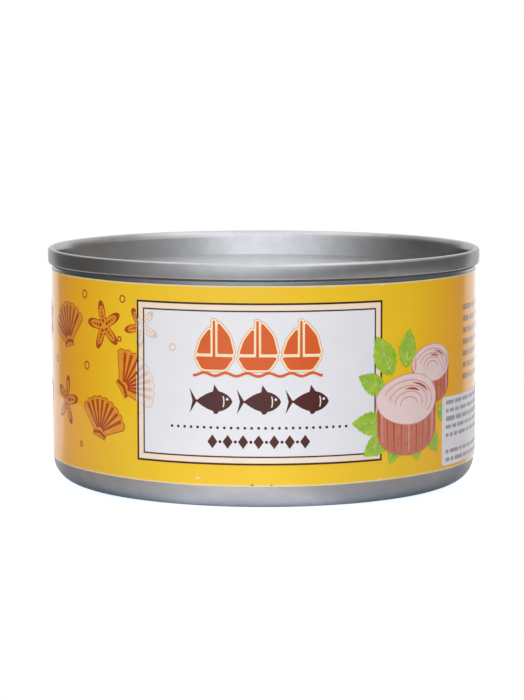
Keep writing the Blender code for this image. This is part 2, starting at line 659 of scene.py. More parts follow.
@dataclass(frozen=True)
class SunkLid:
    """The lid: a ringed panel, a groove round it, a sloping wall and the rolled seam on the rim.

    Fillets round off the profile's corners. The crest has two, from its inner side outwards, and the
    underside has three, from the wall inwards.
    """

    seam_radius: float
    top: float
    seam_height: float = 3.07 * MM
    bulge: float = 0.10 * MM
    crest_width: float = 1.6 * MM
    panel_depth: float = 4.8 * MM
    groove_depth: float = 5.7 * MM
    groove_radius: float = 40.4 * MM
    groove_width: float = 1.4 * MM
    groove_fillet: float = 0.48 * MM
    panel_fillet: float = 0.40 * MM
    panel_border: float = 0.5 * MM
    wall_lean: float = 0.13 * MM
    wall_drop: float = 0.9 * MM
    wall_fillet: float = 1.8 * MM
    crest_reach: float = 0.68 * MM
    crest_fillets: tuple[float, float] = (0.60 * MM, 0.55 * MM)
    side_fillet: float = 7.0 * MM
    hem: float = 0.03 * MM
    hem_fillet: float = 0.34 * MM
    sheet: float = 0.25 * MM
    underside_fillets: Spatial = (0.7 * MM, 0.45 * MM, 0.2 * MM)
    rings: tuple[float, ...] = (27.6 * MM, 33.4 * MM)
    ring_half_width: float = 2.0 * MM
    ring_rise: float = 0.06 * MM

    def profile(self) -> list[Point]:
        """The outline of the lid: over its panel, groove, wall and seam, and back under them.

        Returns:
            The profile's points, from axis to axis.
        """
        panel = self.top - self.panel_depth
        groove = self.top - self.groove_depth
        seam_bottom = self.top - self.seam_height
        seam_middle = (self.top + seam_bottom) / 2
        inner_crest = self.seam_radius - self.crest_width
        shoulder = self.groove_radius - self.groove_width
        edge = self.seam_radius - self.bulge
        wall = inner_crest - (inner_crest - self.groove_radius) * self.seam_height / self.panel_depth
        corners = [Corner(0.0, panel)]
        for radius in self.rings:
            corners += ring_corners(radius, self.ring_half_width, panel, self.ring_rise)
        corners += [
            Corner(shoulder, panel, self.panel_fillet),
            Corner(shoulder, groove, self.groove_fillet),
            Corner(self.groove_radius, groove, self.groove_fillet),
            Corner(inner_crest - self.wall_lean, self.top - self.wall_drop, self.wall_fillet),
            Corner(inner_crest + self.crest_reach, self.top, self.crest_fillets[0]),
            Corner(edge, self.top, self.crest_fillets[1]),
            Corner(self.seam_radius, seam_middle, self.side_fillet),
            Corner(edge - self.hem, seam_bottom, self.hem_fillet),
            Corner(wall + self.sheet, seam_bottom),
            Corner(self.groove_radius + self.sheet, groove - self.sheet, self.underside_fillets[0]),
            Corner(shoulder - self.sheet, groove - self.sheet, self.underside_fillets[1]),
            Corner(shoulder - self.sheet, panel - self.sheet, self.underside_fillets[2]),
            Corner(0.0, panel - self.sheet),
        ]
        return rounded(corners)

    def build(self) -> bpy.types.Object:
        """Make the lid, which stands for its plain solid.

        Returns:
            The piece.
        """
        shape = spun(self.profile(), closed=False)
        panel_edge = self.groove_radius - self.groove_width - self.panel_border
        for face in shape.faces:
            middle = face.calc_center_median()
            face.material_index = int(hypot(middle.x, middle.y) < panel_edge)
        piece = finished_piece("sunk_lid", shape, [SEAM_STEEL, PANEL_STEEL])
        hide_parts("seamed_lid")
        return piece


@dataclass(frozen=True)
class Wrap:
    """The label's outer surface, which flat artwork is bent round."""

    radius: float
    strip: float = 1.1 * MM

    def around(self, point: Vector) -> Vector:
        """Bend a point of the unrolled label round the can. Its z is the height over the paper.

        Args:
            point: A point of the unrolled label.

        Returns:
            The point in the frame of the can.
        """
        angle = point.x / self.radius
        reach = self.radius + point.z
        return Vector((reach * sin(angle), -reach * cos(angle), point.y))


@dataclass(frozen=True)
class Spot:
    """Where a motif lies on the unrolled label, how far it is turned and how large it is."""

    x: float
    y: float
    turn: float = 0.0
    size: float = 1.0 * MM

    def put(self, points: Iterable[Point]) -> list[Point]:
        """Move a motif's points to the spot.

        Args:
            points: Points in units of the spot's size, round the motif's own origin.

        Returns:
            The points on the unrolled label.
        """
        c, s = cos(self.turn) * self.size, sin(self.turn) * self.size
        return [(self.x + x * c - y * s, self.y + x * s + y * c) for x, y in points]


def spots(*places: tuple[float, float, float, float]) -> tuple[Spot, ...]:
    """Spots from their x and y in millimetres, turn in degrees and size in millimetres."""
    return tuple(Spot(x * MM, y * MM, radians(turn), size * MM) for x, y, turn, size in places)


class PrintSheet:
    """Flat artwork in thin films, which is cut into upright strips and bent round the can."""

    def __init__(self, name: str, wrap: Wrap, film: float = 0.03 * MM) -> None:
        """Start an empty sheet.

        Args:
            name: The finished piece's name.
            wrap: The surface that it is bent round.
            film: How thick each film is, most of it sunk in the paper.
        """
        self.name = name
        self.wrap = wrap
        self.film = film
        self.shape = bmesh.new()
        self.inks: list[Ink] = []

    def ink_index(self, ink: Ink) -> int:
        """The material index of an ink, which is added on its first use.

        Args:
            ink: The ink.

        Returns:
            Its index on this sheet.
        """
        if ink not in self.inks:
            self.inks.append(ink)
        return self.inks.index(ink)

    def cut_out(self, outline: Sequence[Point], ink: Ink, height: float) -> bmesh.types.BMFace:
        """Add a filled outline.

        Args:
            outline: The outline's points in order.
            ink: Its ink.
            height: How far its face stands over the paper.

        Returns:
            The face.
        """
        made = bmesh.ops.create_circle(self.shape, cap_ends=True, segments=len(outline), radius=1.0)
        for vertex, (x, y) in zip(made["verts"], outline):
            vertex.co = (x, y, height)
        face = made["verts"][0].link_faces[0]
        face.material_index = self.ink_index(ink)
        return face

    def border(self, outline: Sequence[Point], width: float, ink: Ink, height: float) -> None:
        """Add a line just inside an outline.

        Args:
            outline: The outline's points in order.
            width: The width of the line.
            ink: Its ink.
            height: How far its face stands over the paper.
        """
        face = self.cut_out(outline, ink, height)
        inset_face(self.shape, face, width)
        bmesh.ops.delete(self.shape, geom=[face], context="FACES")

    def ribbon(
        self, path: Sequence[Point], width: Callable[[float], float], ink: Ink, height: float
    ) -> None:
        """Add a line of changing width, extruded along a path.

        Args:
            path: The points of its middle line.
            width: Its width for a share of the way from 0 to 1.
            ink: Its ink.
            height: How far its face stands over the paper.
        """
        index = self.ink_index(ink)
        last = len(path) - 1
        edge = None
        for i, point in enumerate(path):
            along = Vector(path[min(i + 1, last)]) - Vector(path[max(i - 1, 0)])
            across = Vector((-along.y, along.x)).normalized() * width(i / last) / 2
            left = Vector((*(Vector(point) + across), height))
            right = Vector((*(Vector(point) - across), height))
            if edge is None:
                ends = [self.shape.verts.new(left), self.shape.verts.new(right)]
            else:
                made = bmesh.ops.extrude_edge_only(self.shape, edges=[edge])["geom"]
                ends = [part for part in made if isinstance(part, bmesh.types.BMVert)]
                ends.sort(key=lambda end: (end.co - previous).length)
                ends[0].co, ends[1].co = left, right
            previous = left
            edge = self.shape.edges.get(ends) or self.shape.edges.new(ends)
            for face in edge.link_faces:
                face.material_index = index

    def finish(self, paler: Callable[[Point], dict[Ink, Ink]] | None = None) -> bpy.types.Object:
        """Cut, thicken and bend the sheet.

        Args:
            paler: For a point, the inks that change there.

        Returns:
            The finished piece.
        """
        shape = self.shape
        bmesh.ops.triangulate(shape, faces=shape.faces, ngon_method="EAR_CLIP")
        downwards = [face for face in shape.faces if face.normal.z < 0]
        bmesh.ops.reverse_faces(shape, faces=downwards)
        reach = [vertex.co.x for vertex in shape.verts]
        first = ceil(min(reach) / self.wrap.strip)
        last = ceil(max(reach) / self.wrap.strip)
        for k in range(first, last):
            cut_across(shape, (k * self.wrap.strip, 0.0, 0.0), (1, 0, 0))
        if paler is not None:
            for face in shape.faces:
                middle = face.calc_center_median()
                swaps = paler((middle.x, middle.y))
                ink = self.inks[face.material_index]
                face.material_index = self.ink_index(swaps.get(ink, ink))
        bmesh.ops.solidify(shape, geom=shape.faces[:], thickness=self.film)
        for vertex in shape.verts:
            vertex.co = self.wrap.around(vertex.co)
        piece = finished_piece(self.name, shape, [ink.value for ink in self.inks])
        self.round_shading(piece.data)
        return piece

    @staticmethod
    def round_shading(mesh: bpy.types.Mesh) -> None:
        """Shade the films' outer faces as the round surface that they lie on.

        Args:
            mesh: The bent mesh.
        """
        normals = [tuple(corner.vector) for corner in mesh.corner_normals]
        for face in mesh.polygons:
            outwards = Vector((face.center.x, face.center.y, 0.0)).normalized()
            if face.normal.dot(outwards) < 0.9:
                continue
            for corner in face.loop_indices:
                place = mesh.vertices[mesh.loops[corner].vertex_index].co
                normals[corner] = tuple(Vector((place.x, place.y, 0.0)).normalized())
        mesh.normals_split_custom_set(normals)


INK_STEP = 0.012 * MM


def full_turn(steps: int) -> list[float]:
    """The angles of a full turn in equal steps."""
    return [2 * pi * k / steps for k in range(steps)]


def circle(steps: int = 20) -> list[Point]:
    """A round outline of radius 1."""
    return [(cos(a), sin(a)) for a in full_turn(steps)]


def rectangle(left: float, bottom: float, width: float, height: float) -> list[Point]:
    """An upright rectangle's outline."""
    right, top = left + width, bottom + height
    return [(left, bottom), (right, bottom), (right, top), (left, top)]


def lozenge(half_width: float, half_height: float) -> list[Point]:
    """A lozenge's outline."""
    return [(half_width, 0.0), (0.0, half_height), (-half_width, 0.0), (0.0, -half_height)]


def starfish(steps: int = 70) -> list[Point]:
    """A plain five-armed star with round tips, of radius 1.

    Args:
        steps: How many points it has.

    Returns:
        The outline.
    """
    points = []
    for a in full_turn(steps):
        reach = 0.34 + 0.66 * abs(cos(2.5 * (a - pi / 2))) ** 2.4
        points.append((reach * cos(a), reach * sin(a)))
    return points


def scallop(ribs: int = 9, spread: float = radians(64)) -> list[Point]:
    """A fan-shaped shell of radius 1, with a rippled edge and two ears at its hinge.

    Args:
        ribs: How many ripples its edge has.
        spread: Half the angle of the fan.

    Returns:
        The outline, with the hinge at the origin.
    """
    steps = ribs * 6
    fan = []
    for k in range(steps + 1):
        a = spread * (1 - 2 * k / steps)
        reach = 0.96 + 0.05 * abs(sin(pi * ribs * k / steps))
        fan.append((reach * sin(a), 0.06 + reach * cos(a)))
    return fan + [(-0.26, 0.10), (-0.26, -0.04), (0.26, -0.04), (0.26, 0.10)]


def leaf(width: float, teeth: int, steps: int = 36) -> list[Point]:
    """A leaf of length 1 that grows up from the origin.

    Args:
        width: Its width.
        teeth: How many teeth each edge has.
        steps: How many points each edge has.

    Returns:
        The outline.
    """
    right = []
    for k in range(steps + 1):
        share = k / steps
        half = width / 2 * sin(pi * share**0.85) ** 0.9
        half *= 1 + 0.16 * abs(sin(pi * teeth * share))
        right.append((half, share))
    return right[:-1] + [(0.0, 1.0)] + [(-x, y) for x, y in right[-2:0:-1]]


def fish(depth: float, steps: int = 30) -> list[Point]:
    """A plain fish of length 1 that swims to the right, with its tail at the origin.

    Args:
        depth: The depth of its body.
        steps: How many points each side has.

    Returns:
        The outline.
    """
    body_length, fin_middle = 0.84, 0.50
    fin_height, tail_height = 0.34 * depth, 0.62 * depth
    upper = []
    for k in range(steps + 1):
        share = k / steps
        half = depth / 2 * max(0.10, sin(pi * share**0.80) ** 0.85) if share > 0.02 else 0.0
        fin_run = 0.13 if share < fin_middle else 0.035
        fin = fin_height * max(0.0, 1 - abs(share - fin_middle) / fin_run)
        upper.append((1.0 - body_length * share, half + fin))
    tail = [(0.0, tail_height), (0.07, 0.0), (0.0, -tail_height)]
    lower = [(x, -min(y, tail_height)) for x, y in upper[:0:-1]]
    return upper + tail + lower


@dataclass(frozen=True)
class PaperLabel:
    """The yellow paper band, which laps over its own start at the back and is glued there."""

    wrap: Wrap
    bottom: float
    top: float
    paper: float = 0.10 * MM
    cut_edge_and_highlight: float = 0.27 * MM
    lap: float = 9.0 * MM
    lap_angle: float = radians(158)
    slope: float = 1.6 * MM
    low_front: float = 0.26 * MM
    low_front_middle: float = radians(-3)
    low_front_half: float = radians(33)
    drift_zone: float = 0.5 * MM
    drift: float = 0.02 * MM
    drift_lengths: tuple[float, float] = (7.3 * MM, 2.9 * MM)
    columns: int = 380
    rows: int = 6

    def build(self) -> bpy.types.Object:
        """Make the band, which stands for its plain solid.

        Returns:
            The piece.
        """
        around = 2 * pi * self.wrap.radius
        length = around + self.lap
        height = self.top - self.bottom
        low, high = self.bottom + self.cut_edge_and_highlight, self.top - self.cut_edge_and_highlight
        shape = bmesh.new()
        bmesh.ops.create_grid(shape, x_segments=self.columns, y_segments=self.rows, size=0.5)
        for vertex in shape.verts:
            along, up = vertex.co.x + 0.5, vertex.co.y + 0.5
            vertex.co = (along * length, self.bottom + up * height, 0.0)
        for level in (low, high):
            cut_across(shape, (0, level, 0), (0, 1, 0))
        for face in shape.faces:
            # The pale band at the top and bottom edges shows the cut paper and a painted highlight.
            face.material_index = int(not low <= face.calc_center_median().y <= high)
        bmesh.ops.solidify(shape, geom=shape.faces[:], thickness=self.paper)
        for vertex in shape.verts:
            rise = min(1.0, max(0.0, (vertex.co.x - around + self.slope) / self.slope))
            vertex.co.z += self.paper * rise * rise * (3 - 2 * rise)
            vertex.co.y += self.edge_drift(vertex.co.x, vertex.co.y)
            vertex.co.x += self.lap_angle * self.wrap.radius
            vertex.co = self.wrap.around(vertex.co)
        piece = finished_piece("label_paper", shape, [Ink.YELLOW.value, Ink.PAPER_CORE_AND_HIGHLIGHT.value])
        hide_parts("paper_label")
        return piece

    def edge_drift(self, along: float, height: float) -> float:
        """How far the knife strayed from a straight cut, near the top or bottom edge.

        Args:
            along: The way along the band.
            height: The height over the base.

        Returns:
            The shift in height.
        """
        if min(height - self.bottom, self.top - height) > self.drift_zone:
            return 0.0
        long, short = (along / length for length in self.drift_lengths)
        drift = self.drift * (sin(long) + 0.6 * sin(short + 1.0))
        if height < self.top / 2:
            angle = (along / self.wrap.radius + self.lap_angle) % (2 * pi) - self.low_front_middle
            off = min(angle, 2 * pi - angle) / self.low_front_half
            drift -= self.low_front * exp(-(off**4))
        return drift


@dataclass(frozen=True)
class FramedPanel:
    """The white panel on the front, with a cream band between two dark lines round it."""

    wrap: Wrap
    left: float = -25.1 * MM
    right: float = 23.2 * MM
    bottom: float = 8.55 * MM
    top: float = 38.7 * MM
    band: float = 1.4 * MM
    outer_line: float = 0.36 * MM
    inner_line: float = 0.26 * MM

    def build(self) -> None:
        """Make the panel and, over it, the two lines."""
        ground = PrintSheet("white_panel", self.wrap)
        outline = rectangle(self.left, self.bottom, self.right - self.left, self.top - self.bottom)
        panel = ground.cut_out(outline, Ink.WHITE, INK_STEP)
        inset_face(ground.shape, panel, self.band)
        for face in ground.shape.faces:
            if face is not panel:
                face.material_index = ground.ink_index(Ink.CREAM)
        ground.finish()
        lines = PrintSheet("frame_lines", self.wrap)
        for inset, width in ((0.0, self.outer_line), (self.band, self.inner_line)):
            wide = self.right - self.left - 2 * inset
            high = self.top - self.bottom - 2 * inset
            outline = rectangle(self.left + inset, self.bottom + inset, wide, high)
            lines.border(outline, width, Ink.DARK_LINE, 4 * INK_STEP)
        lines.finish()


@dataclass(frozen=True)
class BoatRow:
    """Three plain sailing boats over a waved line, in orange with a pale edge.

    The boat's parts are given by corners with fillets, in millimetres from the middle of its keel.
    """

    wrap: Wrap
    middle: float = -1.15 * MM
    water: float = 26.3 * MM
    pitch: float = 8.1 * MM
    count: int = 3
    halo: float = 0.34 * MM
    contour: float = 0.44 * MM
    swell: float = 0.30 * MM
    swell_length: float = 4.05 * MM
    swell_depth: float = 0.85 * MM
    swell_line: float = 0.5 * MM
    swell_steps: int = 60
    hull: tuple[tuple[float, ...], ...] = (
        (-3.65, 2.4, 0.3), (-2.3, 0.0, 1.2), (2.1, 0.0, 1.2), (3.75, 2.4, 0.3)
    )
    mast: tuple[tuple[float, ...], ...] = (
        (-0.27, 2.0, 0.1), (0.27, 2.0, 0.1), (0.22, 9.1, 0.15), (-0.22, 9.1, 0.15)
    )
    main_sail: tuple[tuple[float, ...], ...] = (
        (0.66, 2.95, 0.2), (3.75, 2.95, 0.3), (2.9, 6.4, 3.4), (0.66, 9.0, 0.25)
    )
    fore_sail: tuple[tuple[float, ...], ...] = (
        (-0.66, 2.95, 0.2), (-0.66, 7.9, 0.25), (-2.5, 5.6, 3.4), (-3.4, 2.95, 0.3)
    )

    def build(self) -> None:
        """Make the fill, its pale edge and a fine line round that."""
        sheet = PrintSheet("boat_row", self.wrap)
        layers = ((Ink.ORANGE_EDGE, self.contour), (Ink.ORANGE_HALO, self.halo), (Ink.ORANGE, 0.0))
        for level, (ink, extra) in enumerate(layers, start=2):
            for number in range(self.count):
                x = self.middle + (number - (self.count - 1) / 2) * self.pitch
                for part, corners in enumerate((self.hull, self.mast, self.main_sail, self.fore_sail)):
                    outline = Spot(x, self.water).put(rounded([Corner(*corner) for corner in corners]))
                    sheet.cut_out(grown(outline, extra), ink, (level + 0.1 * part) * INK_STEP)
        half = self.count * self.pitch / 2
        path = []
        for k in range(self.swell_steps + 1):
            x = self.middle + half * (2 * k / self.swell_steps - 1)
            height = self.water - self.swell_depth + self.swell * sin(2 * pi * x / self.swell_length)
            path.append((x, height))
        sheet.ribbon(path, lambda share: self.swell_line, Ink.ORANGE, 5 * INK_STEP)
        sheet.finish()


@dataclass(frozen=True)
class TitleRow:
    """Three small plain fish in a row, over a dotted line and a row of lozenges."""

    wrap: Wrap
    fish_left: float = -14.0 * MM
    fish_middle: float = 20.4 * MM
    fish_length: float = 8.2 * MM
    fish_pitch: float = 9.0 * MM
    fish_depth: float = 0.46
    fish_count: int = 3
    eye_place: float = 0.88
    eye_rise: float = 0.45 * MM
    eye_radius: float = 0.24 * MM
    gill_line: float = 0.22 * MM
    dot_left: float = -17.55 * MM
    dot_right: float = 15.65 * MM
    dot_height: float = 15.5 * MM
    dot_count: int = 27
    dot_radius: float = 0.27 * MM
    lozenge_left: float = -9.6 * MM
    lozenge_right: float = 7.7 * MM
    lozenge_middle: float = 12.9 * MM
    lozenge_half: Point = (0.95, 1.3)
    small_dot: float = 0.3
    motif_count: int = 13

    def build(self) -> None:
        """Make the fish, the dots and the lozenges."""
        swimmers = PrintSheet("fish_row", self.wrap)
        gill_turns = [radians(turn) for turn in range(-70, 71, 14)]
        gill = [(0.77 + 0.035 * cos(a), 0.13 * sin(a)) for a in gill_turns]
        for number in range(self.fish_count):
            left = self.fish_left + number * self.fish_pitch
            spot = Spot(left, self.fish_middle, size=self.fish_length)
            swimmers.cut_out(spot.put(fish(self.fish_depth)), Ink.BROWN, 2 * INK_STEP)
            eye_left = left + self.eye_place * self.fish_length
            eye = Spot(eye_left, self.fish_middle + self.eye_rise, size=self.eye_radius)
            swimmers.cut_out(eye.put(circle(12)), Ink.WHITE, 3 * INK_STEP)
            swimmers.ribbon(spot.put(gill), lambda share: self.gill_line, Ink.WHITE, 3 * INK_STEP)
        swimmers.finish()
        row = PrintSheet("dotted_row", self.wrap)
        for number in range(self.dot_count):
            x = self.dot_left + (self.dot_right - self.dot_left) * number / (self.dot_count - 1)
            spot = Spot(x, self.dot_height, size=self.dot_radius)
            row.cut_out(spot.put(circle(14)), Ink.BROWN, 2 * INK_STEP)
        row.finish()
        lozenges = PrintSheet("lozenge_row", self.wrap)
        between = [(self.small_dot * x, self.small_dot * y) for x, y in circle(12)]
        motifs = (lozenge(*self.lozenge_half), between)
        length = self.lozenge_right - self.lozenge_left
        for number in range(self.motif_count):
            x = self.lozenge_left + length * number / (self.motif_count - 1)
            motif = Spot(x, self.lozenge_middle).put(motifs[number % 2])
            lozenges.cut_out(motif, Ink.BROWN, 2 * INK_STEP)
        lozenges.finish()


@dataclass(frozen=True)
class ShorePrint:
    """Shells, starfish and bubbles on the yellow, which fade where they cross the framed panel."""

    wrap: Wrap
    fade_from: float
    fade_to: float
    shells: tuple[Spot, ...] = spots(
        (-46.0, 28.6, 14, 7.6), (-35.2, 12.2, -16, 7.0), (-28.9, 21.6, -54, 7.2), (-63.0, 13.2, 10, 6.6),
        (-80.0, 26.0, -12, 7.4), (-100.0, 12.4, 16, 7.0), (-118.0, 27.4, -10, 7.2),
    )
    stars: tuple[Spot, ...] = spots(
        (-33.6, 33.2, 12, 4.9), (-47.4, 17.6, -10, 5.0), (-24.2, 33.6, 30, 4.0), (-62.0, 32.0, 20, 4.6),
        (-82.0, 14.6, -18, 4.8), (-99.0, 32.6, 6, 4.6), (-118.0, 14.4, 24, 4.6),
    )
    bubbles: tuple[Spot, ...] = spots(
        (-39.6, 38.8, 0, 0.85), (-28.6, 38.6, 0, 0.75), (-39.0, 25.2, 0, 0.85), (-29.4, 31.0, 0, 0.55),
        (-17.4, 30.2, 0, 0.75), (-53.6, 25.0, 0, 0.75), (-41.2, 9.8, 0, 0.60), (-71.0, 22.0, 0, 0.80),
        (-91.0, 22.6, 0, 0.80), (-109.0, 20.4, 0, 0.75),
    )
    bubble_line: float = 0.26 * MM
    shell_line: float = 0.16 * MM
    ribs: int = 8
    rib_spread: float = radians(56)
    star_face: float = 0.80
    star_dots: tuple[Point, ...] = ((0.2, 0.075), (0.37, 0.062), (0.52, 0.05), (0.66, 0.04))

    def build(self) -> None:
        """Make all motifs as one piece."""
        sheet = PrintSheet("shore_print", self.wrap)
        for spot in self.shells:
            self.shell(sheet, spot)
        for spot in self.stars:
            self.star(sheet, spot)
        for spot in self.bubbles:
            sheet.border(spot.put(circle(28)), self.bubble_line, Ink.SHORE_LINE, 2 * INK_STEP)
        pale = {Ink.SHORE: Ink.PALE, Ink.SHORE_LINE: Ink.PALE_LINE}
        sheet.finish(lambda point: pale if self.fade_from < point[0] < self.fade_to else {})

    def shell(self, sheet: PrintSheet, spot: Spot) -> None:
        """Add a shell with its outline and ribs.

        Args:
            sheet: The sheet that it is printed on.
            spot: The place of its hinge.
        """
        fan = spot.put(scallop())
        sheet.cut_out(grown(fan, self.shell_line), Ink.SHORE_LINE, 2 * INK_STEP)
        sheet.cut_out(fan, Ink.SHORE, 2.5 * INK_STEP)
        for k in range(self.ribs):
            angle = self.rib_spread * (1 - 2 * (k + 0.5) / self.ribs)
            rib = [(reach * sin(angle), 0.06 + reach * cos(angle)) for reach in (0.16, 0.40, 0.65, 0.93)]
            sheet.ribbon(
                spot.put(rib), lambda share: (0.05 + 0.052 * share) * spot.size,
                Ink.SHORE_LINE, 3 * INK_STEP,
            )
        hinge = [(-0.26, 0.02), (0.0, 0.10), (0.26, 0.02)]
        sheet.ribbon(spot.put(hinge), lambda share: 0.09 * spot.size, Ink.SHORE_LINE, 3.2 * INK_STEP)

    def star(self, sheet: PrintSheet, spot: Spot) -> None:
        """Add a starfish with a line of dots down each arm.

        Args:
            sheet: The sheet that it is printed on.
            spot: The place of its middle.
        """
        sheet.cut_out(spot.put(starfish()), Ink.SHORE_LINE, 2 * INK_STEP)
        inner = [(self.star_face * x, self.star_face * y) for x, y in starfish()]
        sheet.cut_out(spot.put(inner), Ink.SHORE, 3 * INK_STEP)
        for arm in range(5):
            angle = pi / 2 + 2 * pi * arm / 5
            for reach, size in self.star_dots:
                centre = spot.put([(reach * cos(angle), reach * sin(angle))])[0]
                dot = Spot(*centre, size=size * spot.size)
                sheet.cut_out(dot.put(circle(8)), Ink.SHORE_LINE, 4 * INK_STEP)


@dataclass(frozen=True)
class ServingPrint:
    """Round cut fish steaks on pointed leaves, at the right of the framed panel."""

    wrap: Wrap
    steaks: tuple[Spot, ...] = spots((36.2, 26.0, 0, 5.6), (29.7, 19.6, 0, 7.6))
    leaves: tuple[Spot, ...] = spots(
        (25.6, 24.4, 26, 8.4), (28.8, 25.6, -8, 7.4), (24.0, 21.6, 62, 6.6), (24.2, 15.4, 86, 7.4),
        (24.8, 13.2, 122, 6.6), (27.2, 12.4, 156, 5.2), (31.0, 12.0, 196, 4.6), (34.6, 14.2, 212, 6.4),
        (38.0, 17.4, 236, 5.4),
    )
    flat: float = 0.62
    slab: float = 0.78
    leaf_width: float = 0.54
    frill: int = 7
    face_line: float = 0.16 * MM
    flakes: tuple[float, ...] = (0.82, 0.64, 0.46, 0.28)
    flake_sink: float = 0.16
    flake_line: float = 0.24 * MM
    gaps: tuple[tuple[float, int], ...] = ((0.73, 25), (0.55, 48))
    streak_widths: tuple[float, ...] = (0.42 * MM, 0.26 * MM, 0.34 * MM)

    def build(self) -> None:
        """Make the leaves and the steaks as one piece."""
        sheet = PrintSheet("serving_print", self.wrap)
        for number, spot in enumerate(self.leaves):
            self.leaf(sheet, spot, (5 + 0.2 * number) * INK_STEP)
        for number, spot in enumerate(self.steaks):
            self.steak(sheet, spot, (7 + 3 * number) * INK_STEP)
        sheet.finish()

    def leaf(self, sheet: PrintSheet, spot: Spot, height: float) -> None:
        """Add a leaf with its veins.

        Args:
            sheet: The sheet that it is printed on.
            spot: The place of its stalk.
            height: How far its lowest film stands over the paper.
        """
        over = height + 0.1 * INK_STEP
        sheet.cut_out(spot.put(leaf(self.leaf_width, self.frill)), Ink.LEAF, height)
        rib = spot.put([(0.0, 0.05), (0.01, 0.5), (0.0, 0.92)])
        sheet.ribbon(rib, lambda share: (0.34 - 0.2 * share) * MM, Ink.LEAF_LINE, over)
        for k in range(1, 5):
            for side in (-1, 1):
                vein = [(0.0, 0.17 * k), (side * 0.15, 0.17 * k + 0.13)]
                sheet.ribbon(spot.put(vein), lambda share: (0.2 - 0.1 * share) * MM, Ink.LEAF_LINE, over)

    def steak(self, sheet: PrintSheet, spot: Spot, height: float) -> None:
        """Add one steak: its streaked side and its round cut face with curved flakes and gaps.

        Args:
            sheet: The sheet that it is printed on.
            spot: The middle of its face.
            height: How far its lowest film stands over the paper.
        """
        lower_half = [pi + pi * k / 24 for k in range(25)]
        foot = [self.rim(a, 1.0, self.slab) for a in lower_half]
        sheet.cut_out(spot.put([(-1.0, 0.0), *foot, (1.0, 0.0)]), Ink.RIND, height)
        for k, a in enumerate(lower_half[2:-1:2]):
            places = ((0.99, 0.0), (0.985, 0.5), (0.96, 0.94))
            streak = [self.rim(a, share, drop * self.slab) for share, drop in places]
            ink = Ink.FLESH_LINE if k % 4 == 1 else Ink.RIND_LINE
            width = self.streak_widths[k % 3]
            sheet.ribbon(
                spot.put(streak), lambda share: width * (1 - 0.4 * share), ink, height + 0.3 * INK_STEP
            )
        face = spot.put([self.rim(a, 1.0 - 0.02 * cos(3 * a), 0.0) for a in full_turn(48)])
        sheet.cut_out(grown(face, self.face_line), Ink.FLESH_LINE, height + 0.45 * INK_STEP)
        sheet.cut_out(face, Ink.FLESH, height + 0.6 * INK_STEP)
        for number, share in enumerate(self.flakes):
            turns = [radians(-38 + 12 * number + 11 * k) for k in range(19)]
            flake = [self.rim(a, share, self.flake_sink * (1 - share)) for a in turns]
            over = height + 1.2 * INK_STEP
            sheet.ribbon(spot.put(flake), lambda way: self.flake_line, Ink.FLESH_LINE, over)
        for share, first in self.gaps:
            turns = [radians(first + 7 * k) for k in range(9)]
            gap = [self.rim(a, share, self.flake_sink * (1 - share)) for a in turns]
            sheet.ribbon(
                spot.put(gap), lambda way: 0.055 * spot.size * (0.15 + sin(pi * way)),
                Ink.RIND_LINE, height + 1.5 * INK_STEP,
            )

    def rim(self, angle: float, share: float, drop: float) -> Point:
        """A point of a flattened round, moved down by a share of its radius."""
        return (share * cos(angle), self.flat * share * sin(angle) - drop)


@dataclass(frozen=True)
class PlainLines:
    """Plain bars in the place of small print: rows of short dashes, with no letters."""

    wrap: Wrap
    name: str
    ink: Ink
    left: float
    right: float
    top: float
    rows: int
    pitch: float
    bar: float
    seed: int
    over: float = 2 * INK_STEP
    film: float = 0.03 * MM
    heavy_rows: tuple[int, ...] = ()
    skipped_rows: tuple[int, ...] = ()
    heavier: float = 1.25
    raggedness: float = 0.22
    dash_lengths: Point = (1.4, 5.2)
    shortest: float = 0.6
    space: float = 0.75

    def build(self) -> None:
        """Make the rows as one piece."""
        draw = random.Random(self.seed)
        sheet = PrintSheet(self.name, self.wrap, self.film)
        for row in range(self.rows):
            if row in self.skipped_rows:
                continue
            bar = self.bar * (self.heavier if row in self.heavy_rows else 1.0)
            middle = self.top - (row + 0.5) * self.pitch
            x = self.left
            end = self.right - draw.uniform(0.0, self.raggedness) * (self.right - self.left)
            while x < end:
                length = draw.uniform(*self.dash_lengths) * self.bar
                length = min(length, max(self.shortest * self.bar, end - x))
                sheet.cut_out(self.dash(x, middle, length, bar), self.ink, self.over)
                x += length + self.space * self.bar
        sheet.finish()

    @staticmethod
    def dash(left: float, middle: float, length: float, bar: float) -> list[Point]:
        """One dash with cut corners.

        Args:
            left: Its left end.
            middle: The height of its middle line.
            length: Its length.
            bar: Its thickness.

        Returns:
            The outline.
        """
        cut = 0.22 * bar
        low, high, right = middle - bar / 2, middle + bar / 2, left + length
        return [
            (left + cut, low), (right - cut, low), (right, low + cut), (right, high - cut),
            (right - cut, high), (left + cut, high), (left, high - cut), (left, low + cut),
        ]


